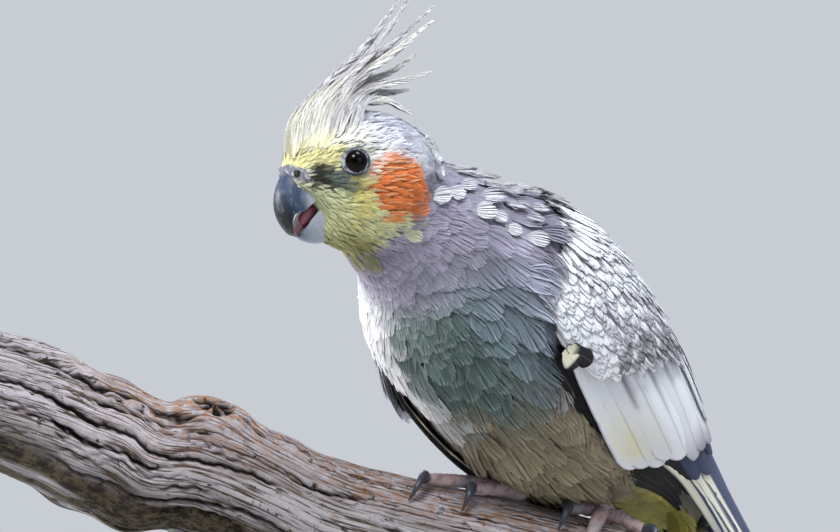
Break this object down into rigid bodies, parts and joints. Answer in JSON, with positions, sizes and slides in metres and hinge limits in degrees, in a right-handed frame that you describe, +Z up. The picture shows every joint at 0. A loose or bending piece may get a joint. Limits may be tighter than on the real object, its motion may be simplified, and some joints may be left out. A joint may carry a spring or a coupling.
{
  "type": "cockatiel",
  "caption": "Life-size cockatiel that grips a cut length of branch, its crest raised and its long tail hanging clear, on a plain display stand.",
  "frame": {"origin": "the middle of the stand base's underside, which lies on z = 0", "axes": "+Z up; +X along the branch, from the bird's head end towards its tail end; -Y towards the viewer of the picture, so the bird's left side faces -Y"},
  "size_m": [0.2551, 0.1695, 0.2492],
  "materials": {
    "grey_plumage": "soft matt grey feathers",
    "pale_yellow_plumage": "soft matt yellow feathers with an orange cheek",
    "white_and_grey_vanes": "white and grey feather vanes",
    "grey_tail_vanes": "grey feather vanes",
    "slate_horn": "dark satin horn",
    "pale_horn": "pale grey satin horn",
    "tongue_skin": "moist dark pink skin",
    "dark_eye": "wet dark brown eye",
    "scaly_skin": "pinkish-grey scaly skin",
    "weathered_wood": "weathered grey-brown wood with cracks",
    "stained_wood": "dark stained satin wood",
    "brushed_steel": "brushed steel"
  },
  "bodies": {
    "root": {"bill_lower": "pale_horn", "bill_upper": "slate_horn", "claw_left_inner_back": "slate_horn", "claw_left_inner_front": "slate_horn", "claw_left_outer_back": "slate_horn", "claw_left_outer_front": "slate_horn", "claw_right_inner_back": "slate_horn", "claw_right_inner_front": "slate_horn", "claw_right_outer_back": "slate_horn", "claw_right_outer_front": "slate_horn", "crest": "pale_yellow_plumage", "eye_left": "dark_eye", "eye_right": "dark_eye", "head": "pale_yellow_plumage", "leg_left": "scaly_skin", "leg_right": "scaly_skin", "neck": "grey_plumage", "perch": "weathered_wood", "stand_base": "stained_wood", "stand_rod_1": "brushed_steel", "stand_rod_2": "brushed_steel", "tail": "grey_tail_vanes", "tongue": "tongue_skin", "torso": "grey_plumage", "wing_left": "white_and_grey_vanes", "wing_right": "white_and_grey_vanes"}
  },
  "joints": []
}
